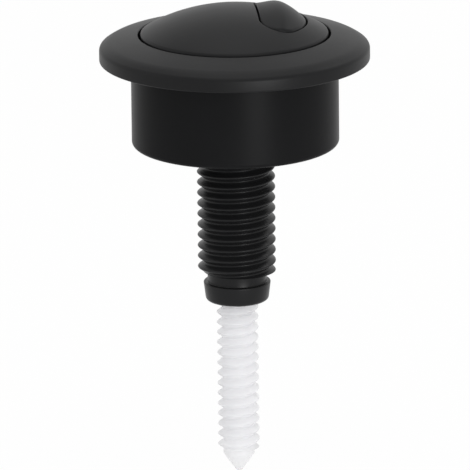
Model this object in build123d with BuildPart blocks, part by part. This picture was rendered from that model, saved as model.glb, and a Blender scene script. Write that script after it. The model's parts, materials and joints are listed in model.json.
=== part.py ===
from build123d import *
from math import acos, atan2, ceil, cos, degrees, radians, sin, sqrt
import os

# Push button cistern actuator for two flush volumes. Millimetres, +Z up.
# The origin is on the axis, at the underside of the flange that rests on the cistern lid.

# Flange ring
flange_radius = 31.0
rim_height = 3.85
rim_wall = 1.8
rim_top_round = 2.4
rim_foot_chamfer = 0.3
ring_height = 6.15
ring_wall = 1.8
lip_thickness = 2.3
collar_wall = 1.7
bore_chamfer = 0.25
rib_count = 12
rib_width = 1.2
rib_foot = 0.6

# Barrel
barrel_radius = 23.8
barrel_wall = 1.75
barrel_depth = 19.85
barrel_foot_round = 1.0
floor_thickness = 2.0
spigot_step = 0.25
bead_height = 0.3
bead_half_length = 0.6
fit_gap = 0.1

# Threaded stem
stem_crest_radius = 9.0
stem_root_radius = 7.7
stem_pitch = 2.5
stem_thread_length = 29.85
stem_crest_drop = 28.7
stem_shank_radius = 9.1
stem_shank_length = 2.4
stem_head_radius = 13.0
stem_head_thickness = 2.2
stem_lug_count = 4
stem_lug_width = 5.0
stem_lug_reach = 1.4
socket_gap = 0.2
socket_wall = 1.4
neck_radius = 6.8
neck_length = 2.5
nose_top_radius = 7.75
nose_foot_radius = 7.2
nose_length = 4.5
nose_round = 1.0
guide_bore_gap = 0.32
spring_bore_radius = 6.4
spring_shoulder_z = -33.0

# Push rod
rod_crest_radius = 4.83
rod_root_radius = 3.6
rod_pitch = 2.44
rod_crest_z = -91.7
rod_thread_top_z = -43.8
rod_thread_foot_z = -92.7
rod_shank_radius = 4.6
rod_cone_z = -94.0
rod_tip_z = -98.6
rod_tip_radius = 0.4

# Thread ridge section
crest_half_width = 0.2
root_half_width = 1.1
ridge_depth = 0.35

# Domed full flush button
button_gap = 0.5
dome_height = 12.25
dome_edge_height = 6.4
dome_edge_chamfer = 0.4
dome_wall = 1.8
dome_foot_z = 4.0
plunger_wall = 1.8
plate_thickness = 1.6
spigot_wall = 1.0
spigot_height = 0.8
guide_gap = 0.25
guide_band_height = 3.0
lug_count = 3
lug_angle = 60.0
lug_width = 4.0
lug_height = 2.5
lug_reach = 0.9
keyway_gap = 0.25
well_gap = 0.3
well_wall = 1.0
well_top_z = 5.5
full_travel = 9.0
stop_gap = 0.3

# Small half flush button
pebble_left_x = 5.3
pebble_margin = 5.05
pebble_corner_radius = 4.2
pebble_edge_round = 0.4
pebble_wall = 1.5
crown_axis_x = 2.49
crown_axis_z = -10.7
crown_tilt = 15.8
crown_radius = 25.0
vault_radius = 20.9
crown_points = ((-4.4, -2.38), (-1.6, -1.32), (1.1, -0.33), (3.9, -0.65), (10, -3.45))
carrier_plate = 1.6
carrier_overlap = 0.9
post_wall = 1.6
post_height = 2.6
hub_gap = 0.3
hub_foot_z = -5.0
hub_roof = 0.9
shank_fit = 0.05

# Return springs
full_spring_gap = 0.25
full_spring_wire = 1.0
full_spring_turns = 6
half_spring_gap = 0.4
half_spring_wire = 0.8
half_spring_turns = 9
spring_chords = 16

# Worked out from the sizes above
bore_radius = barrel_radius - barrel_wall
spigot_radius = barrel_radius - spigot_step
collar_bore_radius = spigot_radius + fit_gap
collar_radius = collar_bore_radius + collar_wall
rim_bore_radius = flange_radius - rim_wall
lip_z = ring_height - lip_thickness
bead_z = lip_z / 2
floor_z = floor_thickness - barrel_depth
button_radius = bore_radius - button_gap
dome_rise = dome_height - dome_edge_height
dome_radius = (button_radius**2 + dome_rise**2) / (2 * dome_rise)
dome_centre_z = dome_height - dome_radius
skirt_radius = button_radius - plunger_wall
plate_foot_z = dome_foot_z - plate_thickness
skirt_foot_z = floor_z + full_travel + stop_gap
lug_radius = button_radius + lug_reach
keyway_radius = lug_radius + keyway_gap
keyway_foot_z = lip_z - lug_height - full_travel - stop_gap
stem_top_z = floor_z + stem_head_thickness
stem_thread_top_z = floor_z - stem_shank_length
stem_foot_z = stem_thread_top_z - stem_thread_length
stem_crest_z = stem_thread_top_z - stem_crest_drop
nose_top_z = stem_foot_z - neck_length
nose_foot_z = nose_top_z - nose_length
full_spring_radius = skirt_radius - full_spring_gap - full_spring_wire / 2
half_spring_radius = spring_bore_radius - half_spring_gap - half_spring_wire / 2
hub_radius = spring_bore_radius - hub_gap
guide_bore_radius = rod_crest_radius + guide_bore_gap
pebble_outer_radius = button_radius - pebble_margin
corner_x = pebble_left_x + pebble_corner_radius
corner_y = sqrt((pebble_outer_radius - pebble_corner_radius) ** 2 - corner_x**2)
corner_angle = degrees(atan2(corner_y, corner_x))
rod_top_z = plate_foot_z - hub_roof
crown_direction = (cos(radians(crown_tilt)), 0, -sin(radians(crown_tilt)))
crown_plane = Plane(origin=(crown_axis_x, 0, crown_axis_z), x_dir=crown_direction, z_dir=(0, -1, 0))
crown_axis = Axis((crown_axis_x, 0, crown_axis_z), crown_direction)
sky_z = 2 * dome_height


def corner_at(sketch, x, y):
    """The corner of a profile that lies nearest to a point."""
    return sketch.vertices().sort_by_distance((x, y))[0]


def ring_underside(radius):
    """Height of the ring's hollow side, one wall below its sloping top."""
    slope = (ring_height - rim_height) / (flange_radius - bore_radius)
    return ring_height - slope * (radius - bore_radius) - ring_wall * sqrt(1 + slope**2)


def pebble_outline(inset):
    """Outline of the small button, straight at the left and round about the barrel's axis at the right."""
    left_x = pebble_left_x + inset
    corner = pebble_corner_radius - inset
    with BuildSketch() as outline:
        with BuildLine():
            Line((left_x, corner_y), (left_x, -corner_y))
            CenterArc((corner_x, -corner_y), corner, 180, 180 - corner_angle)
            CenterArc((0, 0), pebble_outer_radius - inset, -corner_angle, 2 * corner_angle)
            CenterArc((corner_x, corner_y), corner, corner_angle, 180 - corner_angle)
        make_face()
    return outline.sketch


def thread(crest_radius, root_radius, pitch, crest_z, foot_z, top_z):
    """Core and right-hand ridge whose crest passes the left side at crest_z, cut flat at the foot."""
    low_z = crest_z - pitch * ceil((crest_z - foot_z) / pitch + 1)
    with BuildPart() as screw:
        with BuildSketch(Plane.XY.offset(foot_z)):
            Circle(root_radius)
        extrude(amount=top_z - foot_z)
        with BuildLine() as lead:
            Helix(pitch, top_z - low_z, root_radius, center=(0, 0, low_z + pitch / 2))
        with BuildSketch(Plane(origin=lead.line @ 0, x_dir=(1, 0, 0), z_dir=lead.line % 0)) as tooth:
            with BuildLine():
                Polyline(
                    (-ridge_depth, -root_half_width),
                    (crest_radius - root_radius, -crest_half_width),
                    (crest_radius - root_radius, crest_half_width),
                    (-ridge_depth, root_half_width),
                    close=True,
                )
            make_face()
        sweep(sections=tooth.sketch, path=lead.line, is_frenet=True)
        with BuildSketch(Plane.XY.offset(foot_z)):
            Circle(crest_radius + pitch)
        extrude(amount=low_z - foot_z - pitch, mode=Mode.SUBTRACT)
    return screw.part


def coil(radius, wire, turns, chords, foot_z, top_z):
    """Compression spring that stands on foot_z and reaches top_z."""
    low = foot_z + wire / 2
    rise = top_z - foot_z - wire
    path = []
    for step in range(turns * chords + 1):
        angle = radians(360 * step / chords)
        path.append(Vector(radius * cos(angle), radius * sin(angle), low + rise * step / (turns * chords)))
    with BuildPart() as spring:
        with BuildLine() as lead:
            Polyline(*path)
        with BuildSketch(Plane(origin=path[0], x_dir=(0, 0, 1), z_dir=path[1] - path[0])) as section:
            RegularPolygon(wire / 2, 6)
        sweep(sections=section.sketch, path=lead.line, transition=Transition.RIGHT)
    return spring.part


os.makedirs("parts", exist_ok=True)

# Flange ring: sloping top, rounded rim, collar that snaps on the barrel, ribs in the hollow side
with BuildPart() as bezel_ring:
    with BuildSketch(Plane.XZ) as section:
        with BuildLine():
            Polyline(
                (bore_radius, lip_z),
                (collar_bore_radius, lip_z),
                (collar_bore_radius, bead_z + bead_half_length),
                (collar_bore_radius + bead_height, bead_z),
                (collar_bore_radius, bead_z - bead_half_length),
                (collar_bore_radius, 0),
                (collar_radius, 0),
                (collar_radius, ring_underside(collar_radius)),
                (rim_bore_radius, ring_underside(rim_bore_radius)),
                (rim_bore_radius, 0),
                (flange_radius, 0),
                (flange_radius, rim_height),
                (bore_radius, ring_height),
                close=True,
            )
        make_face()
        fillet(corner_at(section, flange_radius, rim_height), rim_top_round)
        chamfer(corner_at(section, flange_radius, 0), rim_foot_chamfer)
        chamfer(corner_at(section, bore_radius, ring_height), bore_chamfer)
    revolve(axis=Axis.Z)
    with BuildSketch(Plane.XY.offset(rib_foot)):
        with PolarLocations((collar_radius + rim_bore_radius) / 2, rib_count):
            Rectangle(rim_bore_radius - collar_radius + rim_wall / 2, rib_width)
    extrude(amount=ring_underside(collar_radius) - rib_foot + fit_gap)
bezel_ring.part.label = "bezel_ring"
export_step(bezel_ring.part, "parts/bezel_ring.step")

# Barrel: cup with a stem hole, a socket for the stem's head, keyways and a spigot for the ring
with BuildPart() as barrel:
    with BuildSketch(Plane.XZ) as section:
        with BuildLine():
            Polyline(
                (bore_radius, lip_z),
                (spigot_radius, lip_z),
                (spigot_radius, bead_z + bead_half_length),
                (spigot_radius + bead_height, bead_z),
                (spigot_radius, bead_z - bead_half_length),
                (spigot_radius, 0),
                (barrel_radius, 0),
                (barrel_radius, -barrel_depth),
                (stem_shank_radius + fit_gap, -barrel_depth),
                (stem_shank_radius + fit_gap, floor_z),
                (bore_radius, floor_z),
                close=True,
            )
        make_face()
        fillet(corner_at(section, barrel_radius, -barrel_depth), barrel_foot_round)
    revolve(axis=Axis.Z)
    with BuildSketch(Plane.XY.offset(floor_z)):
        Circle(stem_head_radius + socket_gap + socket_wall)
        Circle(stem_head_radius + socket_gap, mode=Mode.SUBTRACT)
        with PolarLocations(stem_head_radius, stem_lug_count, start_angle=45):
            Rectangle(4 * socket_wall, stem_lug_width + 2 * socket_gap, mode=Mode.SUBTRACT)
    extrude(amount=stem_head_thickness)
    with BuildSketch(Plane.XY.offset(keyway_foot_z)):
        with PolarLocations(0, lug_count, start_angle=lug_angle):
            Rectangle(keyway_radius, lug_width + 2 * keyway_gap, align=(Align.MIN, Align.CENTER))
        Circle(keyway_radius, mode=Mode.INTERSECT)
        Circle(bore_radius - fit_gap, mode=Mode.SUBTRACT)
    extrude(until=Until.LAST, mode=Mode.SUBTRACT)
barrel.part.label = "barrel"
export_step(barrel.part, "parts/barrel.step")

# Stem: lugged head in the barrel, coarse thread, neck and tapered nose, bored for the rod and its spring
with BuildPart() as threaded_stem:
    add(thread(stem_crest_radius, stem_root_radius, stem_pitch, stem_crest_z, stem_foot_z, stem_thread_top_z))
    with BuildSketch(Plane.XZ) as section:
        with BuildLine():
            Polyline(
                (0, stem_top_z),
                (stem_head_radius, stem_top_z),
                (stem_head_radius, floor_z),
                (stem_shank_radius, floor_z),
                (stem_shank_radius, stem_thread_top_z),
                (0, stem_thread_top_z),
                close=True,
            )
        make_face()
        with BuildLine():
            Polyline(
                (0, stem_foot_z),
                (neck_radius, stem_foot_z),
                (neck_radius, nose_top_z),
                (nose_top_radius, nose_top_z),
                (nose_foot_radius, nose_foot_z),
                (0, nose_foot_z),
                close=True,
            )
        make_face()
        fillet(corner_at(section, nose_foot_radius, nose_foot_z), nose_round)
    revolve(axis=Axis.Z)
    with BuildSketch(Plane.XY.offset(floor_z)):
        with PolarLocations(stem_head_radius, stem_lug_count, start_angle=45):
            Rectangle(2 * stem_lug_reach, stem_lug_width)
    extrude(amount=stem_head_thickness)
    with BuildSketch(Plane.XY.offset(stem_top_z)):
        Circle(spring_bore_radius)
    extrude(amount=spring_shoulder_z - stem_top_z, mode=Mode.SUBTRACT)
    with BuildSketch(Plane.XY.offset(nose_foot_z)):
        Circle(guide_bore_radius)
    extrude(until=Until.LAST, mode=Mode.SUBTRACT)
threaded_stem.part.label = "threaded_stem"
export_step(threaded_stem.part, "parts/threaded_stem.step")

# Push rod: plain shank in the hub, thread, cone tip
with BuildPart() as push_rod:
    add(thread(rod_crest_radius, rod_root_radius, rod_pitch, rod_crest_z, rod_thread_foot_z, rod_thread_top_z))
    with BuildSketch(Plane.XZ):
        with BuildLine():
            Polyline(
                (0, rod_top_z),
                (rod_shank_radius, rod_top_z),
                (rod_shank_radius, rod_thread_top_z),
                (0, rod_thread_top_z),
                close=True,
            )
        make_face()
        with BuildLine():
            Polyline(
                (0, rod_thread_foot_z),
                (rod_root_radius, rod_thread_foot_z),
                (rod_root_radius, rod_cone_z),
                (rod_tip_radius, rod_tip_z),
                (0, rod_tip_z),
                close=True,
            )
        make_face()
    revolve(axis=Axis.Z)
push_rod.part.label = "push_rod"
export_step(push_rod.part, "parts/push_rod.step")

# Domed cap with the opening for the small button
with BuildPart() as full_flush_cap:
    inner_radius = dome_radius - dome_wall
    inner_edge_z = dome_centre_z + sqrt(inner_radius**2 - skirt_radius**2)
    outer_angle = degrees(acos(button_radius / dome_radius))
    inner_angle = degrees(acos(skirt_radius / inner_radius))
    with BuildSketch(Plane.XZ) as section:
        with BuildLine():
            CenterArc((0, dome_centre_z), dome_radius, outer_angle, 90 - outer_angle)
            Polyline(
                (button_radius, dome_edge_height),
                (button_radius, dome_foot_z),
                (skirt_radius, dome_foot_z),
                (skirt_radius, inner_edge_z),
            )
            CenterArc((0, dome_centre_z), inner_radius, inner_angle, 90 - inner_angle)
            Line((0, dome_height - dome_wall), (0, dome_height))
        make_face()
        chamfer(corner_at(section, button_radius, dome_edge_height), dome_edge_chamfer)
    revolve(axis=Axis.Z)
    with BuildSketch(Plane.XY):
        add(pebble_outline(-well_gap))
    extrude(amount=sky_z, mode=Mode.SUBTRACT)
full_flush_cap.part.label = "full_flush_cap"
export_step(full_flush_cap.part, "parts/full_flush_cap.step")

# Plunger under the dome: guided skirt with lugs, spring plate, well for the small button
with BuildPart() as full_flush_plunger:
    spigot_outer = skirt_radius - fit_gap
    with BuildSketch(Plane.XZ):
        with BuildLine():
            Polyline(
                (0, plate_foot_z),
                (skirt_radius, plate_foot_z),
                (skirt_radius, skirt_foot_z),
                (button_radius + guide_gap, skirt_foot_z),
                (button_radius + guide_gap, skirt_foot_z + guide_band_height),
                (button_radius, skirt_foot_z + guide_band_height + guide_gap),
                (button_radius, dome_foot_z),
                (spigot_outer, dome_foot_z),
                (spigot_outer, dome_foot_z + spigot_height),
                (spigot_outer - spigot_wall, dome_foot_z + spigot_height),
                (spigot_outer - spigot_wall, dome_foot_z),
                (0, dome_foot_z),
                close=True,
            )
        make_face()
    revolve(axis=Axis.Z)
    with BuildSketch(Plane.XY.offset(plate_foot_z)):
        add(pebble_outline(-well_gap - well_wall))
    extrude(amount=well_top_z - plate_foot_z)
    with BuildSketch(Plane.XY.offset(plate_foot_z)):
        add(pebble_outline(-well_gap))
    extrude(amount=sky_z, mode=Mode.SUBTRACT)
    with BuildSketch(Plane.XY.offset(lip_z - lug_height)):
        with PolarLocations(0, lug_count, start_angle=lug_angle):
            Rectangle(lug_radius, lug_width, align=(Align.MIN, Align.CENTER))
        Circle(lug_radius, mode=Mode.INTERSECT)
        Circle((skirt_radius + button_radius) / 2, mode=Mode.SUBTRACT)
    extrude(amount=lug_height)
full_flush_plunger.part.label = "full_flush_plunger"
export_step(full_flush_plunger.part, "parts/full_flush_plunger.step")

# Hollow of the small button, vaulted about the crown's axis
with BuildPart() as pebble_hollow:
    with BuildSketch(crown_plane.rotated((0, 90, 0))):
        Circle(vault_radius)
    extrude(amount=sky_z, both=True)
    with BuildSketch(Plane.XY.offset(plate_foot_z)):
        add(pebble_outline(pebble_wall))
    extrude(amount=sky_z, mode=Mode.INTERSECT)

# Small button: crown turned about a tilted axis, trimmed to its outline, hollow below
with BuildPart() as half_flush_cap:
    with BuildSketch(crown_plane):
        with BuildLine():
            top = Spline(*[(along, crown_radius + rise) for along, rise in crown_points])
            Polyline(top @ 1, (crown_points[-1][0], 0), (crown_points[0][0], 0), top @ 0)
        make_face()
    revolve(axis=crown_axis)
    with BuildSketch(Plane.XY.offset(plate_foot_z)):
        add(pebble_outline(0))
    extrude(amount=sky_z, mode=Mode.INTERSECT)
    fillet(half_flush_cap.faces().sort_by(Axis.Z)[-1].edges(), pebble_edge_round)
    add(pebble_hollow.part, mode=Mode.SUBTRACT)
half_flush_cap.part.label = "half_flush_cap"
export_step(half_flush_cap.part, "parts/half_flush_cap.step")

# Carrier of the small button: stop plate under the well, post in the button, hub for the rod
with BuildPart() as half_flush_carrier:
    with BuildSketch(Plane.XY.offset(plate_foot_z - carrier_plate)):
        add(pebble_outline(-carrier_overlap))
        Circle(hub_radius)
        Rectangle(corner_x, 2 * hub_radius, align=(Align.MIN, Align.CENTER))
        Circle(full_spring_radius - full_spring_wire / 2 - full_spring_gap, mode=Mode.INTERSECT)
    extrude(amount=carrier_plate)
    with BuildSketch(Plane.XY.offset(plate_foot_z)):
        add(pebble_outline(pebble_wall + fit_gap))
        add(pebble_outline(pebble_wall + fit_gap + post_wall), mode=Mode.SUBTRACT)
    extrude(amount=post_height)
    with BuildSketch(Plane.XY.offset(hub_foot_z)):
        Circle(hub_radius)
    extrude(amount=plate_foot_z - hub_foot_z)
    with BuildSketch(Plane.XY.offset(hub_foot_z)):
        Circle(rod_shank_radius + shank_fit)
    extrude(amount=rod_top_z - hub_foot_z, mode=Mode.SUBTRACT)
half_flush_carrier.part.label = "half_flush_carrier"
export_step(half_flush_carrier.part, "parts/half_flush_carrier.step")

# Wide return spring under the plunger
with BuildPart() as full_flush_spring:
    add(coil(full_spring_radius, full_spring_wire, full_spring_turns, spring_chords, floor_z, plate_foot_z))
full_flush_spring.part.label = "full_flush_spring"
export_step(full_flush_spring.part, "parts/full_flush_spring.step")

# Narrow return spring round the rod
with BuildPart() as half_flush_spring:
    add(coil(half_spring_radius, half_spring_wire, half_spring_turns, spring_chords, spring_shoulder_z, hub_foot_z))
half_flush_spring.part.label = "half_flush_spring"
export_step(half_flush_spring.part, "parts/half_flush_spring.step")
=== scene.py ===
"""Push button cistern actuator: mouldings, threads, springs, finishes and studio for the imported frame."""

import json
import math

import bmesh
import bpy
import numpy as np
from mathutils import Matrix, Vector

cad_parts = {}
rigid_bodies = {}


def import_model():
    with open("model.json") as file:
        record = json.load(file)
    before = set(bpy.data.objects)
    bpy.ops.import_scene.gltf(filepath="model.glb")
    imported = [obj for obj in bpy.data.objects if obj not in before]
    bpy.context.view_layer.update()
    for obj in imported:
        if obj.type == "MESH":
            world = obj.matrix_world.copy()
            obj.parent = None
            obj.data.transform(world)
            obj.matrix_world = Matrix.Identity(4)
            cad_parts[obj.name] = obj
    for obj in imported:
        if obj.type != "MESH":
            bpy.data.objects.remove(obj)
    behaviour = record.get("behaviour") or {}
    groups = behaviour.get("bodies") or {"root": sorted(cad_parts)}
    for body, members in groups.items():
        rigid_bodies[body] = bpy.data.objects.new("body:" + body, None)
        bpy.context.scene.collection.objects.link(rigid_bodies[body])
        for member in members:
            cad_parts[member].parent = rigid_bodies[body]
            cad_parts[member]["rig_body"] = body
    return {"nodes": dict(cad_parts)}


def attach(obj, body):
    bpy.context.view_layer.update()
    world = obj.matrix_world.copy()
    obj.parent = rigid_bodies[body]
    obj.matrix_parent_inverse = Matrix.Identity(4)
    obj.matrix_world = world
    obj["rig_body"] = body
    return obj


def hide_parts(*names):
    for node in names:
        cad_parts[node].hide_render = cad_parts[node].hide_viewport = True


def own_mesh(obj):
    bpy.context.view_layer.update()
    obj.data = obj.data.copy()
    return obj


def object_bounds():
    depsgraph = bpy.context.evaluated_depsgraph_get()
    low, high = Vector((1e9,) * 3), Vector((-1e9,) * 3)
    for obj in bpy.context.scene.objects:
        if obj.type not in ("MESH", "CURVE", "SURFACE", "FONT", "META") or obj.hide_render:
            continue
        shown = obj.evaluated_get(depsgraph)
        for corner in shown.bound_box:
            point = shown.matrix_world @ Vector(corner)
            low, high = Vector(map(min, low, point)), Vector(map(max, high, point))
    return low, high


bl_info = {
    "name": "Push button cistern actuator",
    "version": (1, 0, 0),
    "blender": (4, 5, 0),
    "location": "3D View > Sidebar > Cistern",
    "description": "Builds a two-volume cistern push button around its engineering frame",
    "category": "Object",
}

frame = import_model()
CAD_BOX = [[float(c) for c in corner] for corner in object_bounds()]

# Flange ring; the sizes of all pieces are in millimetres and follow the frame
BORE_RADIUS = 22.05
RING_HEIGHT = 6.15
RIM_HEIGHT = 3.85
FLANGE_RADIUS = 31.0
RIM_BORE = 29.2
RIM_BORE_ROUND = 0.25
SHOULDER_RADIUS = 29.0
RIM_EDGE_Z = 3.1
RING_WALL = 1.8
UNDERSIDE_ROUND = 0.4
COLLAR_BORE = 23.65
COLLAR_RADIUS = 25.35
COLLAR_ROUND = 0.2
LIP_Z = 3.85
GROOVE_HALF = 0.6
GROOVE_DEPTH = 0.3
RIB_COUNT = 12
RIB_HALF = 0.6
RIB_FOOT_Z = 0.6
RIB_BITE = 0.3
RIB_TOP_BITE = 0.4

# Dome of the full flush button
BUTTON_RADIUS = 21.55
DOME_TOP_Z = 12.25
DOME_EDGE_Z = 6.4
DOME_FOOT_Z = 4.0
DOME_WALL = 1.8
SKIRT_RADIUS = 19.75
WELL_GAP = 0.3

# Pebble of the half flush button, with its crown turned about a tilted axis
PEBBLE_LEFT_X = 5.3
PEBBLE_OUTER_RADIUS = 16.5
PEBBLE_CORNER = 4.2
PEBBLE_MIDDLE_X = 10.8
PEBBLE_FOOT_Z = 2.4
PEBBLE_WALL = 1.5
CROWN_AXIS = (2.49, -10.7)
CROWN_TILT = math.radians(15.8)
CROWN_RADIUS = 25.0
CROWN_POINTS = ((-4.4, -2.38), (-1.6, -1.32), (1.1, -0.33), (3.9, -0.65), (10.0, -3.45))
VAULT_RADIUS = 20.9

# Stem, from its lugged head in the barrel down to its nose
BARREL_FLOOR_Z = -17.85
STEM_TOP_Z = -15.65
STEM_BORE = 6.4
STEM_SHANK_RADIUS = 9.1
STEM_SHOULDER_Z = -33.0
HEAD_RADIUS = 13.0
HEAD_FOOT_ROUND = 0.2
HEAD_TOP_ROUND = 0.3
LUG_COUNT = 4
LUG_NEAR = 12.0
LUG_FAR = 14.4
LUG_HALF = 2.5
STEM_THREAD_TOP_Z = -20.25
STEM_THREAD_FOOT_Z = -50.1
STEM_THREAD = {"root": 7.7, "crest": 9.0, "pitch": 2.5, "crest_z": -48.95}
NECK_RADIUS = 6.8
NECK_ROUND = 0.15
NOSE_TOP_Z = -52.6
NOSE_TOP_RADIUS = 7.75
NOSE_TOP_ROUND = 0.25
NOSE_FOOT_Z = -57.1
NOSE_FOOT_RADIUS = 7.2
NOSE_FOOT_ROUND = 1.0
NOSE_BORE = 5.15
NOSE_BORE_ROUND = 0.3

# Push rod, from its top in the hub down to its cone tip
ROD_TOP_Z = 1.5
ROD_TOP_ROUND = 0.4
ROD_SHANK_RADIUS = 4.6
ROD_THREAD_TOP_Z = -43.8
ROD_THREAD_FOOT_Z = -92.7
ROD_THREAD = {"root": 3.6, "crest": 4.83, "pitch": 2.44, "crest_z": -91.7}
CONE_TOP_Z = -94.0
CONE_TOP_ROUND = 0.5
CONE_FOOT_Z = -98.6
CONE_FOOT_RADIUS = 0.4
CONE_FOOT_ROUND = 0.25

# Half the flat of a thread's crest, and the shifts whose mean rounds it off
CREST_HALF = 0.15
CREST_SHIFTS = (-0.16, -0.08, 0.0, 0.08, 0.16)

# Return springs; the closed end turns climb more slowly than the others
WIDE_COIL = {"radius": 19.0, "wire": 1.0, "turns": 6, "foot_z": BARREL_FLOOR_Z, "top_z": 2.4}
NARROW_COIL = {"radius": 5.6, "wire": 0.8, "turns": 9, "foot_z": STEM_SHOULDER_Z, "top_z": -5.0}
CLOSED_TURNS = 0.75
CLOSED_CLIMB = 0.12

# Steps of the meshes
ROUND_STEPS = 6
SMALL_ROUND_STEPS = 5
OUTLINE_STEPS = 600
CROWN_ROUNDS = 40
DOME_ROWS = 25
HOLLOW_ROWS = 9
CROWN_ROWS = 24
VAULT_ROWS = 8
STEM_AROUND = 128
ROD_AROUND = 96
COIL_STEPS = 40
WIRE_SIDES = 12
MOULDING_SHARP = 38.0
WIRE_SHARP = 60.0

# Moulded plastic: patterns per metre, their shares, and their swing of the roughness
FLOW_SCALE = 70.0
PITS_PER_GRAIN = 0.7
FLOW_IN_SHADE = 0.7
SPECKLE_IN_RELIEF = 0.65
GRAIN_STRENGTH = 0.35
FLOW_ROUGHNESS = 0.1
SPECKLE_ROUGHNESS = 0.06
STEM_PALER = 1.15

# Spring wire: patterns per metre, and the roughness with its two swings
HAZE_SCALE = 220.0
HAZE_DARK = 0.8
DIE_LINES = (300.0, 300.0, 9000.0)
LINE_STRENGTH = 0.2
LINE_DEPTH = 0.00001
WIRE_ROUGHNESS = 0.24
HAZE_ROUGHNESS = 0.12
LINE_ROUGHNESS = 0.06

# Studio: share of the floor that is plain white to the eye, the rest of it takes the shadow
WHITE = (1.0, 1.0, 1.0, 1.0)
FLOOR_HALF = 4.0
FLOOR_WHITE = 0.94

# Place of the flange's middle left of and above the picture's middle, as shares of the width
MIDDLE_LEFT = 0.00074
MIDDLE_ABOVE = 0.3743
SENSOR_WIDTH = 36.0


def mm(length):
    """A length of the scene, in metres, as millimetres."""
    return length * 1000.0


class Shell:
    """Points and faces of one piece, in millimetres."""

    def __init__(self):
        self.points = np.zeros((0, 3))
        self.faces = []

    def loft(self, rows, foot=None, head=None, closed=False):
        """Skin over rows of points, each row a closed loop, with an optional pole at either end."""
        rows = np.asarray(rows, float)
        count, around = rows.shape[:2]
        start = len(self.points)
        self.points = np.vstack([self.points, rows.reshape(-1, 3)])
        for row in range(count if closed else count - 1):
            low = start + row * around
            high = start + (row + 1) % count * around
            for step in range(around):
                after = (step + 1) % around
                self.faces.append((low + step, low + after, high + after, high + step))
        for pole, low in ((foot, start), (head, start + (count - 1) * around)):
            if pole is not None:
                self.points = np.vstack([self.points, [pole]])
                tip = len(self.points) - 1
                self.faces += [(low + step, low + (step + 1) % around, tip) for step in range(around)]

    def block(self, corners, low_z, high_z):
        """Upright prism over a plan outline."""
        lows = [(x, y, low_z) for x, y in corners]
        highs = [(x, y, high_z) for x, y in corners]
        start = len(self.points)
        self.points = np.vstack([self.points, lows, highs])
        count = len(corners)
        self.faces.append(tuple(range(start, start + count)))
        self.faces.append(tuple(range(start + count, start + 2 * count)))
        for step in range(count):
            after = (step + 1) % count
            self.faces.append((start + step, start + after, start + count + after, start + count + step))

    def spokes(self, count, first_angle, near, far, half, low_z, high_z):
        """Upright blocks from one radius to another, spread evenly round the axis."""
        plan = ((near, -half), (far, -half), (far, half), (near, half))
        for step in range(count):
            turn = Matrix.Rotation(first_angle + 2 * math.pi * step / count, 2)
            self.block([tuple(turn @ Vector(corner)) for corner in plan], low_z, high_z)

    def fit(self, name, node, finish, sharp=MOULDING_SHARP):
        """Mesh object that stands for a node of the frame and moves with that node's body."""
        mesh = bpy.data.meshes.new(name)
        mesh.from_pydata((self.points * 0.001).tolist(), [], self.faces)
        work = bmesh.new()
        work.from_mesh(mesh)
        bmesh.ops.recalc_face_normals(work, faces=work.faces[:])
        work.to_mesh(mesh)
        work.free()
        mesh.shade_smooth()
        mesh.set_sharp_from_angle(angle=math.radians(sharp))
        mesh.materials.append(finish)
        piece = bpy.data.objects.new(name, mesh)
        bpy.context.scene.collection.objects.link(piece)
        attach(piece, frame["nodes"][node]["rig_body"])
        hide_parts(node)
        return piece


def rounded(corners, steps):
    """Profile with each corner (x, y, radius) turned into an arc."""
    profile = []
    for place, (x, y, radius) in enumerate(corners):
        corner = Vector((x, y))
        if radius == 0.0:
            profile.append((x, y))
            continue
        back = (Vector(corners[place - 1][:2]) - corner).normalized()
        ahead = (Vector(corners[(place + 1) % len(corners)][:2]) - corner).normalized()
        half = back.angle(ahead) / 2
        centre = corner + (back + ahead).normalized() * radius / math.sin(half)
        reach = radius / math.tan(half)
        first = (corner + back * reach - centre).normalized()
        last = (corner + ahead * reach - centre).normalized()
        for step in range(steps + 1):
            point = centre + first.slerp(last, step / steps) * radius
            profile.append((point.x, point.y))
    return profile


def quarter(steps):
    """Sines and cosines of the angles of a quarter round."""
    angles = [math.pi / 2 * step / steps for step in range(steps + 1)]
    return [(math.sin(angle), math.cos(angle)) for angle in angles]


def ring_of(radius, z, around):
    """Loop of points about the axis; radius may be a number or one value for each point."""
    angle = np.arange(around) * 2 * math.pi / around
    return np.stack([radius * np.cos(angle), radius * np.sin(angle), np.full(around, z)], axis=1)


def turned(profile, around):
    """Rows of a profile of (radius, z) turned about the axis."""
    return [ring_of(radius, z, around) for radius, z in profile]


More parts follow.
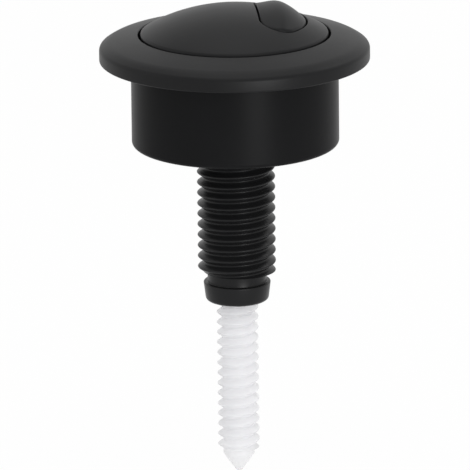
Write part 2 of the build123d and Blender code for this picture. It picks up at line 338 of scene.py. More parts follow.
def pebble_plan(count):
    """Points and outward directions round the small button, spread for its outline and the dome's edge."""
    corner_x = PEBBLE_LEFT_X + PEBBLE_CORNER
    corner_y = math.sqrt((PEBBLE_OUTER_RADIUS - PEBBLE_CORNER) ** 2 - corner_x**2)
    turn = math.atan2(corner_y, corner_x)
    sweeps = (
        (0.0, 0.0, PEBBLE_OUTER_RADIUS, -turn, turn),
        (corner_x, corner_y, PEBBLE_CORNER, turn, math.pi),
        (corner_x, -corner_y, PEBBLE_CORNER, math.pi, 2 * math.pi - turn),
    )
    arcs = []
    for x, y, radius, start, stop in sweeps:
        angle = np.linspace(start, stop, OUTLINE_STEPS)
        out = np.stack([np.cos(angle), np.sin(angle)], axis=1)
        arcs.append(np.hstack([np.array([x, y]) + radius * out, out]))
    side = np.linspace(corner_y, -corner_y, OUTLINE_STEPS)[1:-1]
    flat = np.ones(len(side))
    edge = np.stack([flat * PEBBLE_LEFT_X, side, -flat, np.zeros(len(side))], axis=1)
    fine = np.vstack([arcs[0], arcs[1], edge, arcs[2][:-1]])
    loop = np.vstack([fine, fine[:1]])
    rim = dome_rim(loop[:, :2])
    spread = np.zeros(len(loop))
    for curve in (loop[:, :2], rim):
        walk = np.concatenate([[0.0], np.cumsum(np.linalg.norm(np.diff(curve, axis=0), axis=1))])
        spread += walk / walk[-1] / 2
    wanted = np.arange(count) / count
    plan = np.stack([np.interp(wanted, spread, column) for column in loop.T], axis=1)
    return plan[:, :2], plan[:, 2:] / np.linalg.norm(plan[:, 2:], axis=1)[:, None]


def dome_rim(plan):
    """Points where lines from the small button's middle through its outline meet the dome's edge."""
    way = plan - np.array([PEBBLE_MIDDLE_X, 0.0])
    way = way / np.linalg.norm(way, axis=1)[:, None]
    along = -PEBBLE_MIDDLE_X * way[:, 0]
    far = along + np.sqrt(along**2 - PEBBLE_MIDDLE_X**2 + BUTTON_RADIUS**2)
    return np.array([PEBBLE_MIDDLE_X, 0.0]) + far[:, None] * way


def dome_z(plan, drop):
    """Height of the dome, or of its hollow side one drop below, over plan points."""
    rise = DOME_TOP_Z - DOME_EDGE_Z
    radius = (BUTTON_RADIUS**2 + rise**2) / (2 * rise)
    return DOME_TOP_Z - radius + np.sqrt((radius - drop) ** 2 - (plan**2).sum(axis=1))


def crown_rise(along):
    """Rise of the small button's crown along its tilted axis: a smooth curve through the crown's points."""
    knots = np.array([point[0] for point in CROWN_POINTS])
    rises = np.array([point[1] for point in CROWN_POINTS])
    gaps = np.diff(knots)
    slopes = np.diff(rises) / gaps
    count = len(knots)
    system = np.eye(count)
    bends = np.zeros(count)
    for place in range(1, count - 1):
        before, after = gaps[place - 1], gaps[place]
        system[place, place - 1 : place + 2] = before, 2 * (before + after), after
        bends[place] = 6 * (slopes[place] - slopes[place - 1])
    second = np.linalg.solve(system, bends)
    span = np.clip(np.searchsorted(knots, along) - 1, 0, count - 2)
    left = along - knots[span]
    right = knots[span + 1] - along
    gap = gaps[span]
    curve = (second[span] * right**3 + second[span + 1] * left**3) / (6 * gap)
    curve += (rises[span] / gap - second[span] * gap / 6) * right
    return curve + (rises[span + 1] / gap - second[span + 1] * gap / 6) * left


def crown_z(plan):
    """Height of the small button's crown over plan points, found by going round until it settles."""
    x = plan[:, 0] - CROWN_AXIS[0]
    z = np.full(len(plan), DOME_TOP_Z)
    for _ in range(CROWN_ROUNDS):
        along = x * math.cos(CROWN_TILT) - (z - CROWN_AXIS[1]) * math.sin(CROWN_TILT)
        upright = np.sqrt((CROWN_RADIUS + crown_rise(along)) ** 2 - plan[:, 1] ** 2)
        z = CROWN_AXIS[1] + (upright - x * math.sin(CROWN_TILT)) / math.cos(CROWN_TILT)
    return z


def vault_z(plan):
    """Height of the hollow under the small button."""
    x = plan[:, 0] - CROWN_AXIS[0]
    upright = np.sqrt(VAULT_RADIUS**2 - plan[:, 1] ** 2)
    return CROWN_AXIS[1] + (upright - x * math.sin(CROWN_TILT)) / math.cos(CROWN_TILT)


def with_z(plan, z):
    """Plan points with a height."""
    return np.hstack([plan, np.broadcast_to(z, len(plan)).reshape(-1, 1)])


def thread_radius(z, around, flank, root, crest, pitch, crest_z):
    """Radius of a right-hand thread round a level; its crest passes the left side at crest_z."""
    turn = np.arange(around) / around
    height = np.zeros(around)
    for shift in CREST_SHIFTS:
        off = np.abs(((z + shift - crest_z) / pitch - turn) % 1.0 - 0.5)
        height += np.clip(1.0 - (off * pitch - CREST_HALF) / flank, 0.0, 1.0) / len(CREST_SHIFTS)
    return root + (crest - root) * height


def thread_rows(forms, around, foot_z, top_z, thread):
    """Rows of a thread between two levels."""
    rows = []
    for z in np.linspace(foot_z, top_z, int((top_z - foot_z) / mm(forms.thread_row)) + 1):
        radius = thread_radius(z, around, mm(forms.flank), **thread)
        rows.append(ring_of(radius, z, around))
    return rows


def coil_rows(radius, wire, turns, foot_z, top_z):
    """Rows of a round wire wound into a spring with closed end turns, and the middles of its two ends."""
    total = turns * COIL_STEPS
    progress = np.arange(total + 1) / total
    closed = CLOSED_TURNS / turns
    speed = np.clip(np.minimum(progress, 1 - progress) / closed, CLOSED_CLIMB, 1.0)
    climb = np.concatenate([[0.0], np.cumsum((speed[1:] + speed[:-1]) / 2)])
    heights = foot_z + wire / 2 + (top_z - foot_z - wire) * climb / climb[-1]
    section = np.arange(WIRE_SIDES) * 2 * math.pi / WIRE_SIDES
    out = radius + wire / 2 * np.cos(section)
    rows = []
    for step, height in enumerate(heights):
        angle = 2 * math.pi * step / COIL_STEPS
        z = height + wire / 2 * np.sin(section)
        rows.append(np.stack([out * math.cos(angle), out * math.sin(angle), z], axis=1))
    return rows, rows[0].mean(axis=0), rows[-1].mean(axis=0)


class Strand:
    """A shader socket; arithmetic on it adds Math nodes."""

    def __init__(self, finish, socket):
        self.finish = finish
        self.socket = socket

    def math(self, operation, first, second):
        """A Math node on two sockets or numbers."""
        return self.finish.add("ShaderNodeMath", {"operation": operation}, {0: first, 1: second})

    def __add__(self, other):
        return self.math("ADD", self, other)

    def __sub__(self, other):
        return self.math("SUBTRACT", self, other)

    def __rsub__(self, other):
        return self.math("SUBTRACT", other, self)

    def __mul__(self, other):
        return self.math("MULTIPLY", self, other)

    __radd__ = __add__
    __rmul__ = __mul__


class Finish:
    """Node tree of a material or of the world while it is put together."""

    def __init__(self, owner):
        owner.use_nodes = True
        self.owner = owner
        self.tree = owner.node_tree
        self.tree.nodes.clear()

    def add(self, kind, settings, sockets, output=0):
        """A node with its settings, then its socket values or links; gives one output."""
        node = self.tree.nodes.new(kind)
        for name, value in settings.items():
            setattr(node, name, value)
        for name, value in sockets.items():
            if isinstance(value, Strand):
                self.tree.links.new(value.socket, node.inputs[name])
            else:
                node.inputs[name].default_value = value
        return Strand(self, node.outputs[output]) if node.outputs else node

    def mix(self, factor, first, second):
        """Blend of two colours."""
        return self.add("ShaderNodeMix", {"data_type": "RGBA"}, {0: factor, 6: first, 7: second}, 2)

    def noise(self, place, scale, detail, roughness=0.5):
        """Cloudy pattern with a scale for each metre."""
        values = {"Vector": place, "Scale": scale, "Detail": detail, "Roughness": roughness}
        return self.add("ShaderNodeTexNoise", {}, values)

    def plain_white_rays(self):
        """1 for camera, glossy and transmission rays, which see a plain white studio, and 0 for others."""
        camera = self.add("ShaderNodeLightPath", {}, {}, "Is Camera Ray")
        glossy = Strand(self, camera.socket.node.outputs["Is Glossy Ray"])
        through = Strand(self, camera.socket.node.outputs["Is Transmission Ray"])
        settings = {"operation": "ADD", "use_clamp": True}
        return self.add("ShaderNodeMath", settings, {0: camera + glossy, 1: through})


def opaque(colour):
    """Colour with its alpha."""
    return (colour[0], colour[1], colour[2], 1.0)


def moulded_plastic(name, colour, roughness, grain, depth, gloss, spread, milky=0.0):
    """Injection-moulded plastic with spark-eroded grain of a size and depth, and flow mottling.

    Spread is how far the shade swings, and milky is how far light runs inside.
    """
    known = bpy.data.materials.get(name)
    if known:
        return known
    finish = Finish(bpy.data.materials.new(name))
    place = finish.add("ShaderNodeTexCoord", {}, {}, "Object")
    flow = finish.noise(place, FLOW_SCALE, detail=4.0, roughness=0.55)
    speckle = finish.noise(place, 1.0 / grain, detail=3.0)
    cells = {"Vector": place, "Scale": PITS_PER_GRAIN / grain}
    pits = finish.add("ShaderNodeTexVoronoi", {}, cells, "Distance")
    light = opaque([min(1.0, part * (1.0 + spread)) for part in colour])
    dark = opaque([part * (1.0 - spread) for part in colour])
    shade = finish.mix(flow * FLOW_IN_SHADE + speckle * (1.0 - FLOW_IN_SHADE), dark, light)
    relief = speckle * SPECKLE_IN_RELIEF + pits * (1.0 - SPECKLE_IN_RELIEF)
    grit = {"Strength": GRAIN_STRENGTH, "Distance": depth, "Height": relief}
    bump = finish.add("ShaderNodeBump", {}, grit)
    smoothest = roughness - (FLOW_ROUGHNESS + SPECKLE_ROUGHNESS) / 2
    surface = finish.add(
        "ShaderNodeBsdfPrincipled",
        {},
        {
            "Base Color": shade,
            "Roughness": smoothest + flow * FLOW_ROUGHNESS + speckle * SPECKLE_ROUGHNESS,
            "Normal": bump,
            "Specular IOR Level": gloss,
            "Subsurface Weight": 1.0 if milky > 0.0 else 0.0,
            "Subsurface Radius": (1.0, 1.0, 1.0),
            "Subsurface Scale": milky,
        },
    )
    finish.add("ShaderNodeOutputMaterial", {}, {"Surface": surface})
    return finish.owner


def spring_wire(name, colour):
    """Drawn spring steel with fine die lines and a slight temper haze."""
    known = bpy.data.materials.get(name)
    if known:
        return known
    finish = Finish(bpy.data.materials.new(name))
    place = finish.add("ShaderNodeTexCoord", {}, {}, "Object")
    haze = finish.noise(place, HAZE_SCALE, detail=3.0)
    stretch = finish.add("ShaderNodeVectorMath", {"operation": "MULTIPLY"}, {0: place, 1: DIE_LINES})
    lines = finish.noise(stretch, 1.0, detail=2.0)
    shade = finish.mix(haze, opaque([part * HAZE_DARK for part in colour]), opaque(colour))
    scratch = {"Strength": LINE_STRENGTH, "Distance": LINE_DEPTH, "Height": lines}
    bump = finish.add("ShaderNodeBump", {}, scratch)
    rough = WIRE_ROUGHNESS + haze * HAZE_ROUGHNESS + lines * LINE_ROUGHNESS
    surface = finish.add(
        "ShaderNodeBsdfPrincipled",
        {},
        {"Base Color": shade, "Metallic": 1.0, "Roughness": rough, "Normal": bump},
    )
    finish.add("ShaderNodeOutputMaterial", {}, {"Surface": surface})
    return finish.owner


class CISTERN_PG_forms(bpy.types.PropertyGroup):
    """Edge rounds and mesh fineness of the pieces."""

    around: bpy.props.IntProperty(
        name="Ring steps",
        description="Steps round the ring",
        default=192,
        min=24,
    )
    plan_steps: bpy.props.IntProperty(
        name="Button steps",
        description="Steps round a button",
        default=288,
        min=48,
    )
    rim_edge: bpy.props.FloatProperty(
        name="Rim edge",
        description="Round on the flange's outer edge",
        default=0.0012,
        unit="LENGTH",
        precision=5,
    )
    rim_round: bpy.props.FloatProperty(
        name="Rim round",
        description="Round between the rim's bevel and the ring's top",
        default=0.006,
        unit="LENGTH",
        precision=5,
    )
    foot_round: bpy.props.FloatProperty(
        name="Foot round",
        description="Round on the flange's lower edge",
        default=0.00035,
        unit="LENGTH",
        precision=5,
    )
    bore_round: bpy.props.FloatProperty(
        name="Bore round",
        description="Round at the ring's bore",
        default=0.0003,
        unit="LENGTH",
        precision=5,
    )
    dome_round: bpy.props.FloatProperty(
        name="Dome round",
        description="Round on the dome's outer edge",
        default=0.0005,
        unit="LENGTH",
        precision=5,
    )
    well_round: bpy.props.FloatProperty(
        name="Well round",
        description="Round at the dome's opening",
        default=0.00025,
        unit="LENGTH",
        precision=5,
    )
    pebble_round: bpy.props.FloatProperty(
        name="Pebble round",
        description="Round on the small button's edge",
        default=0.00045,
        unit="LENGTH",
        precision=5,
    )
    thread_row: bpy.props.FloatProperty(
        name="Thread row",
        description="Height of a row of thread faces",
        default=0.0001,
        unit="LENGTH",
        precision=5,
    )
    flank: bpy.props.FloatProperty(
        name="Flank",
        description="Width of a thread flank",
        default=0.00092,
        unit="LENGTH",
        precision=5,
    )


class CISTERN_PG_finishes(bpy.types.PropertyGroup):
    """Colours and surface of the plastics and the wire."""

    black: bpy.props.FloatVectorProperty(
        name="Black",
        description="Colour of the black mouldings",
        default=(0.0075, 0.0076, 0.008),
        subtype="COLOR",
    )
    white: bpy.props.FloatVectorProperty(
        name="White",
        description="Colour of the push rod",
        default=(0.61, 0.608, 0.632),
        subtype="COLOR",
    )
    steel: bpy.props.FloatVectorProperty(
        name="Steel",
        description="Colour of the springs",
        default=(0.56, 0.57, 0.59),
        subtype="COLOR",
    )
    grain: bpy.props.FloatProperty(
        name="Grain",
        description="Size of the moulded grain",
        default=0.0004,
        unit="LENGTH",
        precision=5,
    )
    cap_roughness: bpy.props.FloatProperty(
        name="Cap roughness",
        description="Roughness of ring and buttons",
        default=0.42,
        subtype="FACTOR",
    )
    body_roughness: bpy.props.FloatProperty(
        name="Body roughness",
        description="Roughness of barrel and inner mouldings, and a little above the stem's",
        default=0.36,
        subtype="FACTOR",
    )
    cap_gloss: bpy.props.FloatProperty(
        name="Cap gloss",
        description="Reflection of ring and buttons seen square on",
        default=0.125,
        subtype="FACTOR",
    )
    body_gloss: bpy.props.FloatProperty(
        name="Body gloss",
        description="Reflection of barrel and inner mouldings seen square on",
        default=0.04,
        subtype="FACTOR",
    )


class CISTERN_PG_studio(bpy.types.PropertyGroup):
    """Camera, floor and lamps."""

    distance: bpy.props.FloatProperty(
        name="Distance",
        description="Camera to the flange",
        default=2.0,
        unit="LENGTH",
    )
    elevation: bpy.props.FloatProperty(
        name="Elevation",
        description="Camera above the flange",
        default=math.radians(14.47),
        subtype="ANGLE",
    )
    azimuth: bpy.props.FloatProperty(
        name="Azimuth",
        description="Camera round the axis",
        default=math.radians(-5.0),
        subtype="ANGLE",
    )
    roll: bpy.props.FloatProperty(
        name="Roll",
        description="Lean of the object in the picture",
        default=math.radians(0.65),
        subtype="ANGLE",
    )
    scale: bpy.props.FloatProperty(
        name="Scale",
        description="Share of the picture's width for each metre at the flange",
        default=9.298,
    )
    floor: bpy.props.FloatVectorProperty(
        name="Floor",
        description="Colour of the floor",
        default=(0.86, 0.86, 0.86),
        subtype="COLOR",
    )
    drop: bpy.props.FloatProperty(
        name="Drop",
        description="Floor below the rod's tip, clear of its travel",
        default=0.0145,
        unit="LENGTH",
        precision=5,
    )
    sky: bpy.props.FloatProperty(
        name="Sky",
        description="Strength of the soft light all round",
        default=0.78,
    )
    key: bpy.props.FloatProperty(
        name="Key",
        description="Softbox overhead",
        default=5.0,
        unit="POWER",
    )
    strip: bpy.props.FloatProperty(
        name="Strip",
        description="Low lamp in front at the right",
        default=1.6,
        unit="POWER",
    )
    back: bpy.props.FloatProperty(
        name="Back",
        description="Lamp behind at the upper right",
        default=0.9,
        unit="POWER",
    )
    fill: bpy.props.FloatProperty(
        name="Fill",
        description="Wide lamp at the left",
        default=0.6,
        unit="POWER",
    )


def cap_black(context):
    """Grained black of the ring and the two buttons."""
    look = context.scene.cistern_finishes
    return moulded_plastic(
        "grained_black",
        look.black,
        look.cap_roughness,
        look.grain,
        depth=0.00003,
        gloss=look.cap_gloss,
        spread=0.18,
    )


def body_black(context):
    """Smoother black of the barrel and the inner mouldings."""
    look = context.scene.cistern_finishes
    return moulded_plastic(
        "satin_black",
        look.black,
        look.body_roughness,
        look.grain * 1.6,
        depth=0.000012,
        gloss=look.body_gloss,
        spread=0.12,
    )


def stem_black(context):
    """Paler black of the stem."""
    look = context.scene.cistern_finishes
    return moulded_plastic(
        "stem_black",
        [part * STEM_PALER for part in look.black],
        look.body_roughness - 0.03,
        look.grain * 1.3,
        depth=0.00001,
        gloss=0.15,
        spread=0.15,
    )


def rod_white(context):
    """Milky white of the push rod."""
    look = context.scene.cistern_finishes
    return moulded_plastic(
        "milky_white",
        look.white,
        roughness=0.42,
        grain=look.grain * 2.0,
        depth=0.00001,
        gloss=0.2,
        spread=0.015,
        milky=0.035,
    )


class CISTERN_OT_flange_ring(bpy.types.Operator):
    """Make the sloping flange ring with its collar and ribs"""

    bl_idname = "cistern.flange_ring"
    bl_label = "Flange ring"

    def execute(self, context):
        forms = context.scene.cistern_forms
        slope = (RING_HEIGHT - RIM_HEIGHT) / (FLANGE_RADIUS - BORE_RADIUS)
        drop = RING_WALL * math.hypot(1.0, slope)
        under = [RING_HEIGHT - slope * (radius - BORE_RADIUS) - drop for radius in (COLLAR_RADIUS, RIM_BORE)]
        shoulder_z = RING_HEIGHT - slope * (SHOULDER_RADIUS - BORE_RADIUS)
        profile = rounded(
            (
                (BORE_RADIUS, LIP_Z, 0.0),
                (COLLAR_BORE, LIP_Z, 0.0),
                (COLLAR_BORE, LIP_Z / 2 + GROOVE_HALF, 0.0),
                (COLLAR_BORE + GROOVE_DEPTH, LIP_Z / 2, 0.0),
                (COLLAR_BORE, LIP_Z / 2 - GROOVE_HALF, 0.0),
                (COLLAR_BORE, 0.0, COLLAR_ROUND),
                (COLLAR_RADIUS, 0.0, COLLAR_ROUND),
                (COLLAR_RADIUS, under[0], UNDERSIDE_ROUND),
                (RIM_BORE, under[1], UNDERSIDE_ROUND),
                (RIM_BORE, 0.0, RIM_BORE_ROUND),
                (FLANGE_RADIUS, 0.0, mm(forms.foot_round)),
                (FLANGE_RADIUS, RIM_EDGE_Z, mm(forms.rim_edge)),
                (SHOULDER_RADIUS, shoulder_z, mm(forms.rim_round)),
                (BORE_RADIUS, RING_HEIGHT, mm(forms.bore_round)),
            ),
            ROUND_STEPS,
        )
        ring = Shell()
        ring.loft(turned(profile, forms.around), closed=True)
        near = COLLAR_RADIUS - RIB_BITE
        far = RIM_BORE + RIB_BITE
        ring.spokes(RIB_COUNT, 0.0, near, far, RIB_HALF, RIB_FOOT_Z, under[1] + RIB_TOP_BITE)
        ring.fit("flange_ring", "bezel_ring", cap_black(context))
        return {"FINISHED"}


class CISTERN_OT_full_flush_button(bpy.types.Operator):
    """Make the domed full flush button with its opening"""

    bl_idname = "cistern.full_flush_button"
    bl_label = "Full flush button"

    def execute(self, context):
        forms = context.scene.cistern_forms
        plan, out = pebble_plan(forms.plan_steps)
        rim = dome_rim(plan)
        rim_out = rim / BUTTON_RADIUS
        well = mm(forms.well_round)
        edge = mm(forms.dome_round)
        opening = plan + out * WELL_GAP
        rows = [with_z(opening, dome_z(opening, DOME_WALL))]
        for sine, cosine in quarter(SMALL_ROUND_STEPS):
            spot = opening + out * well * (1 - cosine)
            rows.append(with_z(spot, dome_z(spot, 0.0) - well * (1 - sine)))
        inner = opening + out * well
        outer = rim - rim_out * edge
        for share in np.linspace(0.0, 1.0, DOME_ROWS + 1)[1:-1]:
            spot = inner + (outer - inner) * share
            rows.append(with_z(spot, dome_z(spot, 0.0)))
        for sine, cosine in quarter(ROUND_STEPS):
            spot = outer + rim_out * edge * sine
            rows.append(with_z(spot, dome_z(spot, 0.0) - edge * (1 - cosine)))
        skirt = rim_out * SKIRT_RADIUS
        rows.append(with_z(rim, DOME_FOOT_Z))
        rows.append(with_z(skirt, DOME_FOOT_Z))
        for share in np.linspace(0.0, 1.0, HOLLOW_ROWS + 1)[:-1]:
            spot = skirt + (opening - skirt) * share
            rows.append(with_z(spot, dome_z(spot, DOME_WALL)))
        cap = Shell()
        cap.loft(rows, closed=True)
        cap.fit("full_flush_button", "full_flush_cap", cap_black(context))
        return {"FINISHED"}


class CISTERN_OT_half_flush_button(bpy.types.Operator):
    """Make the small half flush button, crowned and hollow"""

    bl_idname = "cistern.half_flush_button"
    bl_label = "Half flush button"

    def execute(self, context):
        forms = context.scene.cistern_forms
        plan, out = pebble_plan(forms.plan_steps)
        middle = np.array([PEBBLE_MIDDLE_X, 0.0])
        edge = mm(forms.pebble_round)
        hollow = plan - out * PEBBLE_WALL
        rows = []
        for share in np.linspace(0.0, 1.0, VAULT_ROWS + 1)[1:]:
            spot = middle + (hollow - middle) * share
            rows.append(with_z(spot, vault_z(spot)))
        rows.append(with_z(hollow, PEBBLE_FOOT_Z))
        rows.append(with_z(plan, PEBBLE_FOOT_Z))
        for sine, cosine in quarter(ROUND_STEPS):
            spot = plan - out * edge * (1 - cosine)
            rows.append(with_z(spot, crown_z(spot) - edge * (1 - sine)))
        brink = plan - out * edge
        for share in np.linspace(1.0, 0.0, CROWN_ROWS + 1)[1:-1]:
            spot = middle + (brink - middle) * share
            rows.append(with_z(spot, crown_z(spot)))
        under = np.append(middle, vault_z(middle[None])[0])
        over = np.append(middle, crown_z(middle[None])[0])
        pebble = Shell()
        pebble.loft(rows, foot=under, head=over)
        pebble.fit("half_flush_button", "half_flush_cap", cap_black(context))
        return {"FINISHED"}


class CISTERN_OT_threaded_stem(bpy.types.Operator):
    """Make the coarse-threaded stem with its lugged head, neck and nose"""

    bl_idname = "cistern.threaded_stem"
    bl_label = "Threaded stem"

    def execute(self, context):
        forms = context.scene.cistern_forms
        foot = rounded(
            (
                (NOSE_BORE, NOSE_FOOT_Z, NOSE_BORE_ROUND),
                (NOSE_FOOT_RADIUS, NOSE_FOOT_Z, NOSE_FOOT_ROUND),
                (NOSE_TOP_RADIUS, NOSE_TOP_Z, NOSE_TOP_ROUND),
                (NECK_RADIUS, NOSE_TOP_Z, NECK_ROUND),
                (NECK_RADIUS, STEM_THREAD_FOOT_Z, NECK_ROUND),
                (STEM_THREAD["crest"], STEM_THREAD_FOOT_Z, 0.0),
            ),
            ROUND_STEPS,
        )[:-1]
        head = rounded(
            (
                (STEM_SHANK_RADIUS, STEM_THREAD_TOP_Z, 0.0),
                (STEM_SHANK_RADIUS, BARREL_FLOOR_Z, 0.0),
                (HEAD_RADIUS, BARREL_FLOOR_Z, HEAD_FOOT_ROUND),
                (HEAD_RADIUS, STEM_TOP_Z, HEAD_TOP_ROUND),
                (STEM_BORE, STEM_TOP_Z, HEAD_TOP_ROUND),
                (STEM_BORE, STEM_SHOULDER_Z, 0.0),
                (NOSE_BORE, STEM_SHOULDER_Z, 0.0),
            ),
            SMALL_ROUND_STEPS,
        )
        rows = turned(foot, STEM_AROUND)
        rows += thread_rows(forms, STEM_AROUND, STEM_THREAD_FOOT_Z, STEM_THREAD_TOP_Z, STEM_THREAD)
        rows += turned(head, STEM_AROUND)
        stem = Shell()
        stem.loft(rows, closed=True)
        stem.spokes(LUG_COUNT, math.pi / 4, LUG_NEAR, LUG_FAR, LUG_HALF, BARREL_FLOOR_Z, STEM_TOP_Z)
        stem.fit("coarse_stem", "threaded_stem", stem_black(context))
        return {"FINISHED"}


class CISTERN_OT_push_rod(bpy.types.Operator):
    """Make the white threaded push rod with its cone tip"""

    bl_idname = "cistern.push_rod"
    bl_label = "Push rod"

    def execute(self, context):
        forms = context.scene.cistern_forms
        cone = rounded(
            (
                (0.0, CONE_FOOT_Z, 0.0),
                (CONE_FOOT_RADIUS, CONE_FOOT_Z, CONE_FOOT_ROUND),
                (ROD_THREAD["root"], CONE_TOP_Z, CONE_TOP_ROUND),
                (ROD_THREAD["root"], ROD_THREAD_FOOT_Z, 0.0),
            ),
            SMALL_ROUND_STEPS,
        )[1:]
        shank = rounded(
            (
                (ROD_SHANK_RADIUS, ROD_THREAD_TOP_Z, 0.0),
                (ROD_SHANK_RADIUS, ROD_TOP_Z, ROD_TOP_ROUND),
                (0.0, ROD_TOP_Z, 0.0),
            ),
            SMALL_ROUND_STEPS,
        )[:-1]
        rows = turned(cone, ROD_AROUND)
        rows += thread_rows(forms, ROD_AROUND, ROD_THREAD_FOOT_Z, ROD_THREAD_TOP_Z, ROD_THREAD)
        rows += turned(shank, ROD_AROUND)
        rod = Shell()
        rod.loft(rows, foot=(0.0, 0.0, CONE_FOOT_Z), head=(0.0, 0.0, ROD_TOP_Z))
        rod.fit("white_push_rod", "push_rod", rod_white(context))
        return {"FINISHED"}


class CISTERN_OT_return_springs(bpy.types.Operator):
    """Wind the two return springs at rest length; nothing here shortens them as the large button goes down
    """

    bl_idname = "cistern.return_springs"
    bl_label = "Return springs"

    def execute(self, context):
        steel = spring_wire("drawn_steel", context.scene.cistern_finishes.steel)
        for name, node, coil, keep in (
            ("wide_spring", "full_flush_spring", WIDE_COIL, 0.55),
            ("narrow_spring", "half_flush_spring", NARROW_COIL, 0.673),
        ):
            rows, first, last = coil_rows(**coil)
            spring = Shell()
            spring.loft(rows, foot=first, head=last)
            piece = spring.fit(name, node, steel, WIRE_SHARP)
            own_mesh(piece)
        return {"FINISHED"}


class CISTERN_OT_inner_mouldings(bpy.types.Operator):
    """Finish the barrel, the plunger and the carrier of the frame"""

    bl_idname = "cistern.inner_mouldings"
    bl_label = "Barrel and inner mouldings"

    def execute(self, context):
        black = body_black(context)
        for node in ("barrel", "full_flush_plunger", "half_flush_carrier"):
            piece = frame["nodes"][node]
            piece.data.materials.clear()
            piece.data.materials.append(black)
        return {"FINISHED"}


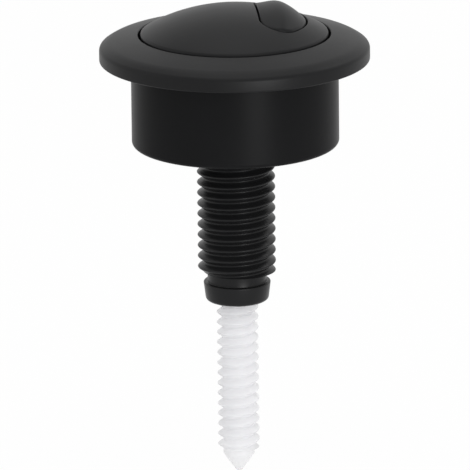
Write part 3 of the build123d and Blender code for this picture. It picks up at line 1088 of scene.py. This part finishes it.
class CISTERN_OT_studio(bpy.types.Operator):
    """Set up the pale floor, the soft lamps and the camera"""

    bl_idname = "cistern.studio"
    bl_label = "Studio"

    def execute(self, context):
        studio = context.scene.cistern_studio
        context.scene.view_settings.view_transform = "Standard"
        self.lay_floor(context, studio)
        self.light_world(context, studio)
        for name, place, target, size, power in (
            ("key_softbox", (0.0, -0.05, 1.3), (0.0, 0.0, -0.04), (0.9, 1.7), studio.key),
            ("right_strip", (0.19, -0.569, -0.06), (0.0, 0.0, -0.02), (0.24, 0.09), studio.strip),
            ("back_lamp", (0.8, 0.42, 0.85), (0.0, 0.0, -0.03), (0.3, 0.3), studio.back),
            ("left_fill", (-1.0, -0.1, 0.3), (0.0, 0.0, -0.03), (0.5, 0.9), studio.fill),
        ):
            self.hang_lamp(context, name, place, target, size, power)
        self.place_camera(context, studio)
        return {"FINISHED"}

    def lay_floor(self, context, studio):
        """A pale floor that is almost white to the eye and keeps a soft shadow."""
        level = CAD_BOX[0][2] - studio.drop
        corners = [(x * FLOOR_HALF, y * FLOOR_HALF, level) for x, y in ((-1, -1), (1, -1), (1, 1), (-1, 1))]
        mesh = bpy.data.meshes.new("pale_floor")
        mesh.from_pydata(corners, [], [(0, 1, 2, 3)])
        finish = Finish(bpy.data.materials.new("pale_floor"))
        seen = finish.plain_white_rays()
        paper = finish.add("ShaderNodeBsdfDiffuse", {}, {"Color": opaque(studio.floor)})
        white = finish.add("ShaderNodeEmission", {}, {"Color": WHITE, "Strength": 1.0})
        surface = finish.add("ShaderNodeMixShader", {}, {0: seen * FLOOR_WHITE, 1: paper, 2: white})
        finish.add("ShaderNodeOutputMaterial", {}, {"Surface": surface})
        mesh.materials.append(finish.owner)
        floor = bpy.data.objects.new("pale_floor", mesh)
        context.scene.collection.objects.link(floor)

    def light_world(self, context, studio):
        """Soft light all round, plain white where it is looked at or mirrored."""
        world = bpy.data.worlds.new("soft_white")
        context.scene.world = world
        finish = Finish(world)
        seen = finish.plain_white_rays()
        soft = finish.add("ShaderNodeBackground", {}, {"Color": WHITE, "Strength": studio.sky})
        white = finish.add("ShaderNodeBackground", {}, {"Color": WHITE, "Strength": 1.0})
        surface = finish.add("ShaderNodeMixShader", {}, {0: seen, 1: soft, 2: white})
        finish.add("ShaderNodeOutputWorld", {}, {"Surface": surface})

    def hang_lamp(self, context, name, place, target, size, power):
        """A soft rectangular lamp that faces a target."""
        lamp = bpy.data.lights.new(name, "AREA")
        lamp.shape = "RECTANGLE"
        lamp.size, lamp.size_y = size
        lamp.energy = power
        holder = bpy.data.objects.new(name, lamp)
        holder.location = place
        holder.rotation_euler = (Vector(target) - Vector(place)).to_track_quat("-Z", "Y").to_euler()
        context.scene.collection.objects.link(holder)

    def place_camera(self, context, studio):
        """The photograph's camera, turned so that the flange stands high in the picture."""
        level, turn, lean = studio.elevation, studio.azimuth, studio.roll
        back = Vector((math.cos(level) * math.sin(turn), -math.cos(level) * math.cos(turn), math.sin(level)))
        ahead = -back
        right = ahead.cross(Vector((0.0, 0.0, 1.0))).normalized()
        up = right.cross(ahead)
        side = math.cos(lean) * right - math.sin(lean) * up
        top = math.sin(lean) * right + math.cos(lean) * up
        focal = studio.scale * studio.distance
        aim = (ahead + side * (MIDDLE_LEFT / focal) - top * (MIDDLE_ABOVE / focal)).normalized()
        side = aim.cross(top).normalized()
        top = side.cross(aim)
        lens = bpy.data.cameras.new("photo_camera")
        lens.sensor_width = SENSOR_WIDTH
        lens.lens = SENSOR_WIDTH * focal
        lens.clip_start = 0.05
        lens.clip_end = 30.0
        camera = bpy.data.objects.new("photo_camera", lens)
        facing = Matrix((side, top, -aim)).transposed().to_4x4()
        camera.matrix_world = Matrix.Translation(back * studio.distance) @ facing
        context.scene.collection.objects.link(camera)
        context.scene.camera = camera


class CISTERN_PT_sidebar(bpy.types.Panel):
    """Steps that build the actuator"""

    bl_idname = "CISTERN_PT_sidebar"
    bl_label = "Cistern actuator"
    bl_space_type = "VIEW_3D"
    bl_region_type = "UI"
    bl_category = "Cistern"

    def draw(self, context):
        scene = context.scene
        for step in STEPS:
            self.layout.operator(step.bl_idname)
        for group in (scene.cistern_forms, scene.cistern_finishes, scene.cistern_studio):
            box = self.layout.box()
            for name in group.__annotations__:
                box.prop(group, name)


STEPS = (
    CISTERN_OT_flange_ring,
    CISTERN_OT_full_flush_button,
    CISTERN_OT_half_flush_button,
    CISTERN_OT_threaded_stem,
    CISTERN_OT_push_rod,
    CISTERN_OT_return_springs,
    CISTERN_OT_inner_mouldings,
    CISTERN_OT_studio,
)
CLASSES = (CISTERN_PG_forms, CISTERN_PG_finishes, CISTERN_PG_studio, *STEPS, CISTERN_PT_sidebar)


def register():
    """Add the classes and the scene's settings."""
    for kind in CLASSES:
        bpy.utils.register_class(kind)
    bpy.types.Scene.cistern_forms = bpy.props.PointerProperty(type=CISTERN_PG_forms)
    bpy.types.Scene.cistern_finishes = bpy.props.PointerProperty(type=CISTERN_PG_finishes)
    bpy.types.Scene.cistern_studio = bpy.props.PointerProperty(type=CISTERN_PG_studio)


def unregister():
    """Take the scene's settings and the classes away again."""
    del bpy.types.Scene.cistern_studio
    del bpy.types.Scene.cistern_finishes
    del bpy.types.Scene.cistern_forms
    for kind in reversed(CLASSES):
        bpy.utils.unregister_class(kind)


def main():
    """Build every piece and the studio."""
    register()
    bpy.ops.cistern.flange_ring()
    bpy.ops.cistern.full_flush_button()
    bpy.ops.cistern.half_flush_button()
    bpy.ops.cistern.threaded_stem()
    bpy.ops.cistern.push_rod()
    bpy.ops.cistern.return_springs()
    bpy.ops.cistern.inner_mouldings()
    bpy.ops.cistern.studio()


if __name__ == "__main__":
    main()
